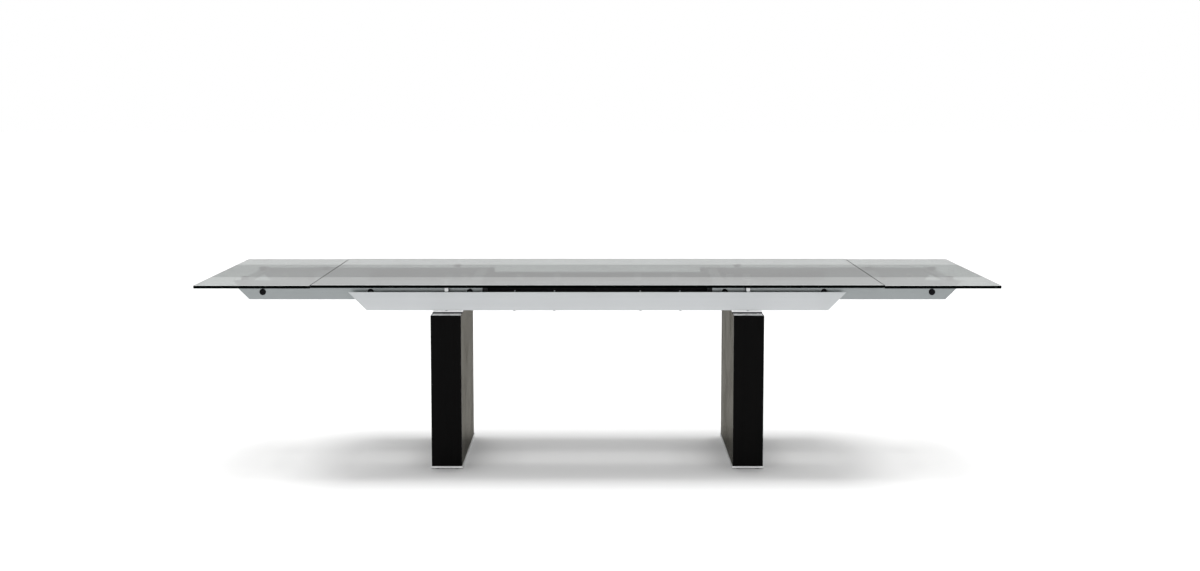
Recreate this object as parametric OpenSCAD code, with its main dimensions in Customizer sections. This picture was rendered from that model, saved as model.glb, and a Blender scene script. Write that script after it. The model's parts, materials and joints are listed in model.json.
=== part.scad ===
// Extendable dining table. A fixed glass top stands on two panel legs, tied by a
// front and a rear beam. At each end a roller carriage runs in tracks behind the
// beams and carries a loose glass leaf. The table is drawn extended.
// +X runs along the table, the front is at -Y and +Z is up. The origin is on the
// floor under the middle of the top. Pieces are drawn on the right (+X) and rear
// (+Y) and mirrored to the left and front.

/* [Glass top] */
// Height of the fixed top above the floor
top_h = 760; // [725:1:790]
// Length of the fixed glass
glass_l = 2198; // [2000:1:2400]
// Depth of the fixed glass and of the leaves
glass_w = 1100; // [900:1:1200]
// Thickness of the fixed glass and of the leaves
glass_t = 12; // [8:1:15]
// Length of one loose leaf
leaf_l = 448; // [420:1:500]
// How far a leaf lies below the fixed glass
leaf_drop = 2; // [1:0.5:4]
// Gap between the fixed glass and a leaf
seam_gap = 3; // [1:0.5:5]

/* [Legs] */
// Distance from the middle of the table to the middle of a leg
leg_x = 600; // [560:1:680]
// Width of a leg along the table
leg_w = 120; // [110:1:160]
// Depth of a leg
leg_d = 700; // [640:1:800]
// Thickness of the black front and rear panels
panel_t = 10; // [6:1:16]
// Thickness of the steel cladding on a leg's sides
cladding_t = 1.5; // [1:0.5:3]
// Wall thickness of the wooden carcass
carcass_t = 16; // [12:1:19]
// Thickness of a leg's base plate
base_t = 8; // [5:1:15]
// Thickness of a leg's top plate
cover_t = 8; // [5:1:12]
// How far a base plate stands out from its leg
base_lip = 3; // [1:1:8]
// Height of a floor glide
glide_h = 4; // [2:0.5:6]
// Diameter of a floor glide
glide_d = 24; // [16:1:40]
// Distance from a base plate's edge to a glide's middle
glide_inset = 25; // [20:1:40]

/* [Beams] */
// Distance from the middle of the table to a beam's outer face
beam_y = 310; // [300:1:330]
// Height of a beam
beam_h = 73; // [60:1:80]
// Wall thickness of a beam
beam_t = 4; // [3:0.5:5]
// Clear height between a beam and the glass
beam_gap = 42; // [38:1:55]
// Distance from the end of the fixed glass to a beam's upper corner
beam_inset = 109; // [80:1:160]
// Width of a beam's lower flange, with the wall
flange_w = 82; // [80:1:95]
// Thickness of the mount plate on a leg
mount_t = 14; // [10:1:20]
// Thickness of the black gasket under a mount plate
gasket_t = 3; // [2:0.5:5]
// Width of flange that lies on a mount plate
mount_overlap = 29; // [24:1:40]

/* [Glass posts] */
// Diameter of a glass post
post_d = 22; // [18:1:24]
// Distance from a beam's outer face to a post's middle
post_inset = 20; // [18:1:22]
// Diameter of the disc bonded under the glass
disc_d = 36; // [30:1:50]
// Thickness of the bonded disc
disc_t = 6; // [4:1:8]

/* [Tracks] */
// Wall thickness of a track
track_t = 4; // [3:0.5:5]
// Depth of the channel inside a track
channel_d = 22; // [20:1:24]
// Distance from a beam's upper corner to the end of a track
track_inset = 20; // [10:1:60]
// Thickness of a track bracket
bracket_t = 4; // [3:0.5:5]
// Width of a track bracket
bracket_w = 30; // [24:1:36]
// Distance from a leg's side to the brackets on it
bracket_edge = 25; // [20:1:28]
// Place of the first bracket from the middle of the table
bracket_x1 = 172; // [80:1:240]
// Place of the second bracket from the middle of the table
bracket_x2 = 331; // [280:1:440]

/* [Carriages] */
// Travel of a carriage
stroke = 430; // [380:1:435]
// Height of a carriage rail
rail_h = 66; // [60:1:70]
// Thickness of a carriage rail
rail_t = 6; // [4:0.5:7]
// Clear height between a rail and the fixed glass
rail_clear = 10; // [9:1:16]
// How far a rail's lower edge reaches past the fixed glass
rail_reach = 291; // [260:1:320]
// Gap between a track's lips and a rail
rail_gap = 4; // [3:0.5:5]
// Width of a cross bar
bar_w = 40; // [30:1:50]
// Thickness of a cross bar
bar_t = 10; // [8:1:11]
// How far a cross bar lies below a rail's upper edge
bar_drop = 5; // [3:0.5:6]
// Distance from a leaf's inner edge to the middle of its first bar
bar_setback = 50; // [30:1:80]
// Length of the black cap on a rail's inner end
cap_l = 16; // [10:1:24]
// Wall thickness of that cap
cap_wall = 2.4; // [1.6:0.2:3]
// Diameter of a leaf pad
pad_d = 30; // [20:1:36]
// Distance from the middle of the table to a leaf pad
pad_y = 200; // [120:1:230]

/* [Rollers] */
// Diameter of a roller
roller_d = 28; // [24:1:30]
// Width of a roller
roller_w = 13.5; // [10:0.5:14]
// Free height of a roller in its track
roller_play = 0.6; // [0.4:0.1:1]
// Diameter of an axle
axle_d = 10; // [8:1:12]
// Distance from a rail's upper edge down to an axle
axle_drop = 36; // [35:1:38]
// Distance from a rail's end to its first axle
axle_end = 54; // [40:1:70]
// Distance from the end of a track to the middle axle
axle_track = 65; // [40:1:100]
// Diameter of an axle's head
axle_head_d = 26; // [20:1:28]
// Thickness of an axle's head
axle_head_t = 5.5; // [4:0.5:6]
// Radial running clearance of a roller on its axle
axle_fit = 0.06; // [0.02:0.01:0.1]

/* [Fasteners] */
// Diameter of a leg's tie bolts
tie_d = 12; // [10:1:14]
// Distance from a carcass wall to a tie bolt's side
tie_gap = 8.5; // [6:0.5:12]
// Distance from the middle of the table to a tie bolt
tie_y = 200; // [150:1:210]
// Diameter of a beam bolt
beam_bolt_d = 10; // [8:1:11]
// Distance from a flange's inner edge to a beam bolt
beam_bolt_inset = 15; // [14:1:18]
// Diameter of a bracket screw, track screw and post screw
screw_d = 6; // [5:1:8]
// Distance from a beam's outer face to a bracket screw
screw_inset = 25; // [22:1:32]

/* [Hidden] */
$fn = 64;

// Clearances and small sizes that the model shares
hole_fit = 0.2;      // radial clearance of a bolt in its hole
thread_fit = 0.1;    // radial clearance drawn between a screw and its thread
cut = 1;             // how far a cutting solid runs past a face
stop_half = 6;       // half the length of a centre stop
stop_gap = 3;        // gap left between a cap and its centre stop
out_stop_l = 14;     // length of an out stop
out_stop_gap = 0.5;  // gap between an out stop and the inner bar at rest
bar_end = 15;        // distance from a rail's inner end to the inner bar
bar_over = 1;        // how far the outer bar stands in from a rail's slanted end
cap_grip = 4;        // length of rail held in a cap
side_play = 0.5;     // side play of a roller beside its spacer and ring
ring_t = 1.5;        // thickness of a retaining ring
ring_over = 3;       // how far a ring or spacer stands out from its axle
axle_tail = 1.5;     // length of axle past its ring
washer_t = 2;        // thickness of a washer
foot_gap = 6;        // gap between a bracket's foot and the beam's wall
lip = 2;             // how far a centre stop is narrower than its track

// Heights
glass_z = top_h - glass_t;
leaf_z = glass_z - leaf_drop;
beam_z = glass_z - beam_gap - beam_h;
leg_top = beam_z - mount_t - gasket_t;
panel_z = glide_h + base_t;
flange_z = beam_z + beam_t;
rail_top = glass_z - rail_clear;
rail_z = rail_top - rail_h;
axle_z = rail_top - axle_drop;
track_h = roller_d + roller_play + 2 * track_t;
track_z = axle_z - track_h / 2;
bar_z = rail_top - bar_drop - bar_t;
pad_z = bar_z + bar_t;
bracket_top = axle_z + screw_d * 2;

// Places along the table
glass_end = glass_l / 2;
leaf_x = glass_end + seam_gap;
beam_end_top = glass_end - beam_inset;
beam_end = beam_end_top - beam_h;
track_end = beam_end_top - track_inset;
rail_in = stop_half + stop_gap + stroke + cap_l;
rail_out = glass_end + rail_reach;
inner_bar_x = rail_in + bar_end;
outer_bar_x = rail_out + bar_z - rail_z - bar_over - bar_w;
leaf_bar_xs = [leaf_x + bar_setback - bar_w / 2, outer_bar_x];
inner_axle_x = rail_in + axle_end;
middle_axle_x = track_end - axle_track;
outer_axle_x = rail_out - axle_end;
axle_xs = [inner_axle_x, middle_axle_x, outer_axle_x];
bracket_dx = leg_w / 2 - bracket_edge;
leg_bracket_xs = [leg_x - bracket_dx, leg_x + bracket_dx];
beam_bracket_xs = [bracket_x1, bracket_x2];
bracket_xs = concat(beam_bracket_xs, leg_bracket_xs);

// Places across the table
flange_y = beam_y - flange_w;
mount_y = flange_y + mount_overlap;
bolt_y = flange_y + beam_bolt_inset;
track_y = flange_y + bracket_t;
channel_y = track_y + track_t;
track_lip_y = channel_y + channel_d;
rail_y = track_lip_y + rail_gap;
rail_face_y = rail_y + rail_t;
spacer_y = track_lip_y - side_play - 1;
roller_y = spacer_y - side_play - roller_w;
ring_y = roller_y - side_play - ring_t;
post_y = beam_y - post_inset;
screw_y = beam_y - screw_inset;
foot_y = beam_y - beam_t - foot_gap;
leg_y = leg_d / 2;
core_y = leg_y - panel_t;
core_x = leg_w / 2 - cladding_t;
base_y = leg_y + base_lip;
base_x = leg_w / 2 + base_lip;
tie_dx = core_x - carcass_t - tie_gap - tie_d / 2;

// Mirrors the children to the left when side is -1
module at_side(side) {
    mirror([side < 0 ? 1 : 0, 0, 0]) children();
}

// Mirrors the children to the front when face is -1
module at_face(face) {
    mirror([0, face < 0 ? 1 : 0, 0]) children();
}

// Copies the children to all four corners of the table
module at_corners() {
    for (side = [-1, 1], face = [-1, 1])
        at_side(side) at_face(face) children();
}

// A block between two opposite corners
module block(low, high) {
    translate(low) cube(high - low);
}

// An upright cylinder from z0 to z1
module rod_z(d, z0, z1) {
    translate([0, 0, z0]) cylinder(d = d, h = z1 - z0);
}

// A cylinder along the depth of the table from y0 to y1
module rod_y(d, y0, y1) {
    translate([0, y0, 0]) rotate([-90, 0, 0]) cylinder(d = d, h = y1 - y0);
}

// A ring along the depth of the table
module ring_along_y(d, bore, y0, y1) {
    difference() {
        rod_y(d, y0, y1);
        rod_y(bore, y0 - cut, y1 + cut);
    }
}

// An upright outline, drawn in X and Z, with its thickness from y0 to y1
module upright_plate(points, y0, y1) {
    translate([0, y1, 0]) rotate([90, 0, 0]) linear_extrude(y1 - y0) polygon(points);
}

// Glass

module centre_glass() {
    color("lightcyan")
        block([-glass_end, -glass_w / 2, glass_z], [glass_end, glass_w / 2, top_h]);
}

module leaf(side) {
    color("lightcyan") at_side(side)
        block([leaf_x, -glass_w / 2, leaf_z], [leaf_x + leaf_l, glass_w / 2, leaf_z + glass_t]);
}

module glass_discs() {
    color("silver") at_corners() translate([leg_x, post_y, 0])
        rod_z(disc_d, glass_z - disc_t, glass_z);
}

module glass_posts() {
    color("gainsboro") at_corners() translate([leg_x, post_y, 0])
        difference() {
            rod_z(post_d, flange_z, glass_z - disc_t);
            rod_z(screw_d + 2 * thread_fit, flange_z - cut, flange_z + screw_d * 3);
        }
}

module post_screws() {
    color("dimgray") at_corners() translate([leg_x, post_y, 0])
        pan_screw(beam_z, flange_z + screw_d * 2.5);
}

// A pan head screw that stands in from below, with its head under z0
module pan_screw(z0, z1) {
    rod_z(screw_d, z0 - cut, z1);
    difference() {
        translate([0, 0, z0 - screw_d * 0.8]) cylinder(d1 = screw_d * 1.4, d2 = screw_d * 1.8, h = screw_d * 0.8);
        translate([0, 0, z0 - screw_d * 0.8 - cut]) cylinder(d = screw_d * 0.75, h = screw_d * 0.4 + cut, $fn = 6);
    }
}

// A hexagon head bolt with its washer, standing on z0 with its shank down to z1
module hex_bolt(d, z0, z1) {
    rod_z(d, z1, z0 + cut);
    rod_z(d * 2, z0, z0 + washer_t);
    translate([0, 0, z0 + washer_t]) cylinder(d = d * 1.9, h = d * 0.65, $fn = 6);
}

// Beams

module beam(face) {
    color("gainsboro") at_face(face) difference() {
        union() {
            upright_plate([[-beam_end, beam_z], [beam_end, beam_z],
                           [beam_end_top, beam_z + beam_h], [-beam_end_top, beam_z + beam_h]],
                          beam_y - beam_t, beam_y);
            block([-beam_end, flange_y, beam_z], [beam_end, beam_y - beam_t / 2, flange_z]);
        }
        for (side = [-1, 1]) at_side(side) {
            for (x = leg_bracket_xs)
                flange_hole(x, bolt_y, beam_bolt_d);
            for (x = beam_bracket_xs)
                flange_hole(x, screw_y, screw_d);
            flange_hole(leg_x, post_y, screw_d);
        }
    }
}

module flange_hole(x, y, d) {
    translate([x, y, 0]) rod_z(d + 2 * hole_fit, beam_z - cut, flange_z + cut);
}

module beam_bolts() {
    color("dimgray") at_corners() for (x = leg_bracket_xs)
        translate([x, bolt_y, 0]) hex_bolt(beam_bolt_d, flange_z + bracket_t, beam_z - mount_t);
}

// Tracks

module track(face) {
    color("black") at_face(face) difference() {
        block([-track_end, track_y, track_z], [track_end, track_lip_y, track_z + track_h]);
        block([-track_end - cut, channel_y, track_z + track_t],
              [track_end + cut, track_lip_y + cut, track_z + track_h - track_t]);
        for (side = [-1, 1], x = bracket_xs)
            at_side(side) translate([x, 0, axle_z])
                rod_y(screw_d + 2 * thread_fit, track_y - cut, channel_y + cut);
    }
}

// An angle bracket with its foot on the beam's flange and its upright behind the track
module track_bracket(x, hole_y, hole_d) {
    translate([x, 0, 0]) difference() {
        union() {
            block([-bracket_w / 2, flange_y, flange_z], [bracket_w / 2, foot_y, flange_z + bracket_t]);
            block([-bracket_w / 2, flange_y, flange_z], [bracket_w / 2, track_y, bracket_top]);
        }
        translate([0, hole_y, 0]) rod_z(hole_d, flange_z - cut, flange_z + bracket_t + cut);
        translate([0, 0, axle_z]) rod_y(screw_d + 2 * hole_fit, flange_y - cut, track_y + cut);
    }
}

module track_brackets() {
    color("dimgray") at_corners() {
        for (x = beam_bracket_xs)
            track_bracket(x, screw_y, screw_d + 2 * thread_fit);
        for (x = leg_bracket_xs)
            track_bracket(x, bolt_y, beam_bolt_d + 2 * hole_fit);
    }
}

module bracket_screws() {
    color("dimgray") at_corners() for (x = beam_bracket_xs)
        translate([x, screw_y, 0]) pan_screw(beam_z, flange_z + bracket_t);
}

module track_screws() {
    color("dimgray") at_corners() for (x = bracket_xs)
        translate([x, 0, axle_z]) {
            rod_y(screw_d, flange_y - cut, channel_y);
            rod_y(screw_d * 1.8, flange_y - screw_d * 0.6, flange_y);
        }
}

// A block on each track that stops the inner bar when the carriage is out
module out_stops() {
    low = [inner_bar_x + bar_w + out_stop_gap, channel_y, track_z + track_h];
    color("black") at_corners()
        block(low, [low.x + out_stop_l, track_lip_y - track_t, bar_z + bar_t / 2]);
}

// A block in the mouth of each track that stops the caps when the carriages are in
module centre_stops() {
    color("black") for (face = [-1, 1]) at_face(face) {
        block([-stop_half, track_lip_y, track_z + lip],
              [stop_half, rail_face_y + cap_wall, track_z + track_h - lip]);
        block([-stop_half, channel_y, track_z + track_t],
              [stop_half, track_lip_y + cut, track_z + track_h - track_t]);
    }
}

// Legs, each drawn on the right with its inner side towards the middle

module leg_carcass(side) {
    color("burlywood") at_side(side) translate([leg_x, 0, 0]) difference() {
        block([-core_x, -core_y, panel_z], [core_x, core_y, leg_top - cover_t]);
        block([carcass_t - core_x, carcass_t - core_y, panel_z - cut],
              [core_x - carcass_t, core_y - carcass_t, leg_top - cover_t + cut]);
    }
}

module leg_panel(side, face) {
    color([0.07, 0.07, 0.075]) at_side(side) at_face(face) translate([leg_x, 0, 0])
        block([-leg_w / 2, core_y, panel_z], [leg_w / 2, leg_y, leg_top]);
}

module leg_cladding(side, turn) {
    color("silver") at_side(side) translate([leg_x, 0, 0]) mirror([turn < 0 ? 1 : 0, 0, 0])
        block([core_x, -core_y, panel_z], [leg_w / 2, core_y, leg_top]);
}

module leg_base_plate(side) {
    color("gainsboro") at_side(side) translate([leg_x, 0, 0]) difference() {
        block([-base_x, -base_y, glide_h], [base_x, base_y, panel_z]);
        tie_holes(thread_fit, glide_h - cut, panel_z + cut);
    }
}

module leg_top_plate(side) {
    color("gainsboro") at_side(side) translate([leg_x, 0, 0]) difference() {
        block([-core_x, -core_y, leg_top - cover_t], [core_x, core_y, leg_top]);
        tie_holes(hole_fit, leg_top - cover_t - cut, leg_top + cut);
    }
}

module mount_plate(side) {
    color("silver") at_side(side) translate([leg_x, 0, 0]) difference() {
        block([-leg_w / 2, -mount_y, beam_z - mount_t], [leg_w / 2, mount_y, beam_z]);
        tie_holes(hole_fit, beam_z - mount_t - cut, beam_z + cut);
        for (dx = [-bracket_dx, bracket_dx], face = [-1, 1])
            translate([dx, face * bolt_y, 0])
                rod_z(beam_bolt_d + 2 * thread_fit, beam_z - mount_t - cut, beam_z + cut);
    }
}

module mount_gaskets() {
    color("black") for (side = [-1, 1]) translate([side * leg_x, 0, 0]) difference() {
        block([-leg_w / 2, -mount_y, leg_top], [leg_w / 2, mount_y, leg_top + gasket_t]);
        tie_holes(hole_fit, leg_top - cut, leg_top + gasket_t + cut);
    }
}

// Places the children at the four tie bolts of a leg
module at_ties() {
    for (dx = [-tie_dx, tie_dx], face = [-1, 1])
        translate([dx, face * tie_y, 0]) children();
}

module tie_holes(fit, z0, z1) {
    at_ties() rod_z(tie_d + 2 * fit, z0, z1);
}

module tie_bolts() {
    color("dimgray") for (side = [-1, 1]) translate([side * leg_x, 0, 0])
        at_ties() hex_bolt(tie_d, beam_z, glide_h);
}

module floor_glides() {
    glide_dx = base_x - glide_inset;
    glide_dy = base_y - glide_inset;
    color("black") for (side = [-1, 1], dx = [-glide_dx, glide_dx], y = [-glide_dy, 0, glide_dy])
        translate([side * leg_x + dx, y, 0]) rod_z(glide_d, 0, glide_h);
}

// Carriages, each drawn on the right

module rail(side, face) {
    color("silver") at_side(side) at_face(face) difference() {
        upright_plate([[rail_in, rail_z], [rail_out, rail_z],
                       [rail_out + rail_h, rail_top], [rail_in, rail_top]], rail_y, rail_face_y);
        for (x = axle_xs) translate([x, 0, axle_z])
            rod_y(axle_d + 2 * thread_fit, rail_y - cut, rail_face_y + cut);
    }
}

module cross_bar(x) {
    block([x, -rail_y, bar_z], [x + bar_w, rail_y, bar_z + bar_t]);
}

module inner_bar(side) {
    color("dimgray") at_side(side) cross_bar(inner_bar_x);
}

module leaf_bars(side) {
    color("dimgray") at_side(side) for (x = leaf_bar_xs) cross_bar(x);
}

module leaf_pads(side) {
    color("black") at_side(side) for (x = leaf_bar_xs, face = [-1, 1])
        translate([x + bar_w / 2, face * pad_y, 0]) rod_z(pad_d, pad_z, leaf_z);
}

module rail_caps(side) {
    color("black") at_side(side) for (face = [-1, 1]) at_face(face) difference() {
        block([rail_in - cap_l, rail_y - cap_wall, rail_z],
              [rail_in + cap_grip, rail_face_y + cap_wall, rail_top]);
        block([rail_in, rail_y, rail_z - cut], [rail_in + cap_grip + cut, rail_face_y, rail_top + cut]);
    }
}

// Places the children at every axle of one carriage, front and rear
module at_axles(side) {
    at_side(side) for (x = axle_xs, face = [-1, 1])
        at_face(face) translate([x, 0, axle_z]) children();
}

module axle_bolts(side) {
    socket_d = axle_d * 0.7;
    color("black") at_axles(side) {
        rod_y(axle_d, ring_y - axle_tail, rail_face_y + cut);
        difference() {
            translate([0, rail_face_y, 0]) rotate([-90, 0, 0])
                cylinder(d1 = axle_head_d, d2 = axle_head_d * 0.86, h = axle_head_t);
            translate([0, rail_face_y + axle_head_t / 2, 0]) rotate([-90, 0, 0])
                cylinder(d = socket_d, h = axle_head_t, $fn = 6);
        }
    }
}

module axle_spacers(side) {
    color("silver") at_axles(side)
        ring_along_y(axle_d + 2 * ring_over, axle_d + 2 * thread_fit, spacer_y, rail_y);
}

module axle_rings(side) {
    color("silver") at_axles(side)
        ring_along_y(axle_d + 2 * ring_over, axle_d + 2 * thread_fit, ring_y, ring_y + ring_t);
}

// The front and the rear roller on one axle line
module rollers(side, x) {
    color("whitesmoke") at_side(side) for (face = [-1, 1])
        at_face(face) translate([x, 0, axle_z])
            ring_along_y(roller_d, axle_d + 2 * axle_fit, roller_y, roller_y + roller_w);
}

centre_glass();
glass_discs();
glass_posts();
post_screws();
beam(-1);  // front_beam
beam(1);  // rear_beam
beam_bolts();
track(-1);  // front_track
track(1);  // rear_track
track_brackets();
bracket_screws();
track_screws();
out_stops();
centre_stops();
leg_carcass(-1);  // left_leg_carcass
leg_panel(-1, -1);  // left_leg_front_panel
leg_panel(-1, 1);  // left_leg_rear_panel
leg_cladding(-1, -1);  // left_leg_inner_cladding
leg_cladding(-1, 1);  // left_leg_outer_cladding
leg_base_plate(-1);  // left_leg_base_plate
leg_top_plate(-1);  // left_leg_top_plate
mount_plate(-1);  // left_mount_plate
leg_carcass(1);  // right_leg_carcass
leg_panel(1, -1);  // right_leg_front_panel
leg_panel(1, 1);  // right_leg_rear_panel
leg_cladding(1, -1);  // right_leg_inner_cladding
leg_cladding(1, 1);  // right_leg_outer_cladding
leg_base_plate(1);  // right_leg_base_plate
leg_top_plate(1);  // right_leg_top_plate
mount_plate(1);  // right_mount_plate
mount_gaskets();
tie_bolts();
floor_glides();
rail(-1, -1);  // left_front_rail
rail(-1, 1);  // left_rear_rail
inner_bar(-1);  // left_inner_bar
leaf_bars(-1);  // left_leaf_bars
axle_bolts(-1);  // left_axle_bolts
axle_spacers(-1);  // left_axle_spacers
axle_rings(-1);  // left_axle_rings
rail_caps(-1);  // left_rail_caps
leaf_pads(-1);  // left_leaf_pads
rollers(-1, inner_axle_x);  // left_inner_rollers
rollers(-1, middle_axle_x);  // left_middle_rollers
rollers(-1, outer_axle_x);  // left_outer_rollers
leaf(-1);  // left_leaf
rail(1, -1);  // right_front_rail
rail(1, 1);  // right_rear_rail
inner_bar(1);  // right_inner_bar
leaf_bars(1);  // right_leaf_bars
axle_bolts(1);  // right_axle_bolts
axle_spacers(1);  // right_axle_spacers
axle_rings(1);  // right_axle_rings
rail_caps(1);  // right_rail_caps
leaf_pads(1);  // right_leaf_pads
rollers(1, inner_axle_x);  // right_inner_rollers
rollers(1, middle_axle_x);  // right_middle_rollers
rollers(1, outer_axle_x);  // right_outer_rollers
leaf(1);  // right_leaf
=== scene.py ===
"""Looks of an extending glass dining table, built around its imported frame."""

import json
from math import pi, radians, tau

import bmesh
import bpy
from bpy.props import FloatProperty, FloatVectorProperty, IntProperty, PointerProperty
from mathutils import Matrix, Vector

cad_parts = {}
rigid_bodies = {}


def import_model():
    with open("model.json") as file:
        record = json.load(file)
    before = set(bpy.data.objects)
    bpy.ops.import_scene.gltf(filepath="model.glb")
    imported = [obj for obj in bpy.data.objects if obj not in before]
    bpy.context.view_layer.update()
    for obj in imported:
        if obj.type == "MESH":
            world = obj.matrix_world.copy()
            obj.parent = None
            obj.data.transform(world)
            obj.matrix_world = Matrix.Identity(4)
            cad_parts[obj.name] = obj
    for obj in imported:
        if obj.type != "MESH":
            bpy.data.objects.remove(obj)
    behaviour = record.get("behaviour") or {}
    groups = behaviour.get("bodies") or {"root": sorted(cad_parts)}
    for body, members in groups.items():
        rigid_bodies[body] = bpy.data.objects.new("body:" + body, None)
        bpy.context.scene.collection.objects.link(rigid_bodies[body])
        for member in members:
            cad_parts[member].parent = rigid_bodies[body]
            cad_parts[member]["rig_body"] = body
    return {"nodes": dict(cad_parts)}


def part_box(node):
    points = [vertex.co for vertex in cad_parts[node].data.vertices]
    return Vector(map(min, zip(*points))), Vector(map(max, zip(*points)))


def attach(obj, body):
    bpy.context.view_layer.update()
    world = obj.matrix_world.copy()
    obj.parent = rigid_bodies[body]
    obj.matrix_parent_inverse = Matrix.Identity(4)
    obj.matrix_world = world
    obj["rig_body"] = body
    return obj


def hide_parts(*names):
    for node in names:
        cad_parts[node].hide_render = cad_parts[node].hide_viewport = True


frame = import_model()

bl_info = {
    "name": "Extending glass dining table",
    "version": (1, 0, 0),
    "blender": (4, 5, 0),
    "location": "3D View > Sidebar > Table",
    "description": "Models the pieces of an extending glass dining table and their finishes",
    "category": "Object",
}

NODES = frame["nodes"]
SIDES, FACES = ("left", "right"), ("front", "rear")
MM = 0.001
SAME_PLACE = 0.01 * MM       # vertices closer than this are one
CORNER = radians(38)         # an edge that turns more than this is rounded
CREASE = radians(50)         # an edge that turns more than this is shaded sharp
PANE_CREASE = radians(18)    # the same for the panes
FLAT = 0.9                   # a face whose normal has more than this along Z lies flat
UPRIGHT = 2 * MM             # an edge that rises more than this stands upright
ROUND_SIDES = 32             # sides of the small screws and bolts


# What a user would change


def length(name, about, default, low=0.0, high=0.05):
    return FloatProperty(
        name=name, description=about, default=default, min=low, max=high,
        unit="LENGTH", subtype="DISTANCE", precision=4)


def angle(name, about, degrees):
    return FloatProperty(
        name=name, description=about, default=radians(degrees),
        unit="ROTATION", subtype="ANGLE")


def colour(name, about, *rgb):
    return FloatVectorProperty(
        name=name, description=about, default=rgb, min=0.0, max=1.0, size=3, subtype="COLOR")


class TableSizes(bpy.types.PropertyGroup):
    glass_arris: length("Glass arris", "Width of the arris on a pane's long sides", 0.8 * MM)
    end_arris: length("End arris", "Width of the arris on a pane's short sides", 1.5 * MM)
    glass_corner: length("Glass corner", "Rounding of a pane's upright corners", 3 * MM)
    profile_edge: length("Profile edge", "Rounding of the beams and rails", 1.2 * MM)
    plate_edge: length("Plate edge", "Rounding of the steel plates", 0.8 * MM)
    sheet_edge: length("Sheet edge", "Rounding of the thin sheet cladding", 0.4 * MM)
    panel_edge: length("Panel edge", "Rounding of the veneered panels", 0.8 * MM)
    moulded_edge: length("Moulded edge", "Rounding of plastic and rubber parts", 0.7 * MM)
    screw_edge: length("Fastener edge", "Rounding of the bolts, posts and brackets", 0.35 * MM)
    socket_depth: length("Socket depth", "Depth of the hexagon socket in an axle head", 2.7 * MM)
    groove: length("Turned groove", "Width of the groove turned in each post", 1.6 * MM)
    round_steps: IntProperty(
        name="Steps in a turn", description="Sides of the turned pieces",
        default=48, min=16, max=96)


class TableColours(bpy.types.PropertyGroup):
    glass_edge: colour("Glass edge", "Deep green black of the polished edges",
                       0.0004, 0.0009, 0.0008)
    glass_arris: colour("Glass arris", "Frosted line of the ground arris", 0.90, 0.94, 0.92)
    beam: colour("Beam steel", "Light satin steel of the beams", 0.51, 0.525, 0.535)
    rail: colour("Rail steel", "Satin steel of the carriage rails", 0.305, 0.325, 0.33)
    plate: colour("Plate steel", "Blasted steel of the plates", 0.88, 0.885, 0.89)
    # Far darker than bare steel: painted shade that stands for the dim surroundings that the leg
    # sides mirror
    cladding: colour("Cladding steel", "Brushed steel of the leg sides", 0.146, 0.144, 0.138)
    chrome: colour("Chrome", "Bright chrome of the posts and discs", 0.50, 0.51, 0.515)
    veneer: colour("Black veneer", "Black stained veneer of the legs", 0.0013, 0.0012, 0.0012)
    board: colour("Bare board", "Board inside the legs", 0.46, 0.31, 0.17)
    black_coat: colour("Black coat", "Powder coat of the tracks and stops", 0.009, 0.009, 0.010)
    grey_coat: colour("Grey coat", "Powder coat of the bars and brackets", 0.40, 0.41, 0.42)
    zinc: colour("Zinc", "Zinc plate of the screws and spacers", 0.46, 0.47, 0.49)
    black_oxide: colour("Black oxide", "Blackened steel of the axle heads", 0.010, 0.010, 0.011)
    rubber: colour("Rubber", "Gaskets and pads", 0.014, 0.014, 0.014)
    plastic: colour("Black plastic", "Moulded caps", 0.010, 0.010, 0.011)
    nylon: colour("Nylon", "Natural nylon of the rollers", 0.76, 0.75, 0.69)
    floor: colour("Floor", "Pale studio floor", 0.90, 0.90, 0.90)


class StageSettings(bpy.types.PropertyGroup):
    camera_place: FloatVectorProperty(
        name="Camera", description="Place of the camera", default=(0.0, -7.398, 1.492),
        size=3, unit="LENGTH", subtype="TRANSLATION")
    camera_tilt: angle("Tilt", "How far the camera looks down", 6.118)
    lens: FloatProperty(name="Lens", description="Focal length in millimetres", default=53.9)
    shift: FloatProperty(name="Shift", description="Sideways shift of the picture", default=0.0022)
    room: FloatProperty(name="Room", description="Strength of the room's own light", default=1.0)
    lamp: FloatProperty(
        name="Overhead light", description="Strength of the light above", default=3.1)
    lamp_width: angle("Width of the overhead light", "How wide the light above looks", 28)
    lamp_lean: angle(
        "Lean of the overhead light", "How far the light above leans forward", 10)
    floor_size: length("Floor size", "Side of the floor", 120.0, 10.0, 500.0)


def sizes():
    return bpy.context.scene.table_sizes


def colours():
    return bpy.context.scene.table_colours


# Shapes


def new_shape():
    """An empty bmesh that can mark its worn edges."""
    bm = bmesh.new()
    bm.loops.layers.float.new("edge")
    return bm


def node_shape(node):
    """A merged copy of a CAD node's mesh, with its flat faces joined."""
    bm = new_shape()
    bm.from_mesh(NODES[node].data)
    bmesh.ops.remove_doubles(bm, verts=bm.verts, dist=SAME_PLACE)
    bmesh.ops.dissolve_limit(
        bm, angle_limit=radians(1), use_dissolve_boundaries=False,
        verts=bm.verts, edges=bm.edges, delimit=set())
    return bm


def add_block(bm, low, high):
    """A block between two opposite corners."""
    low, high = Vector(low), Vector(high)
    made = bmesh.ops.create_cube(bm, size=1.0)["verts"]
    bmesh.ops.scale(bm, vec=high - low, verts=made)
    bmesh.ops.translate(bm, vec=(low + high) / 2, verts=made)


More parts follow.
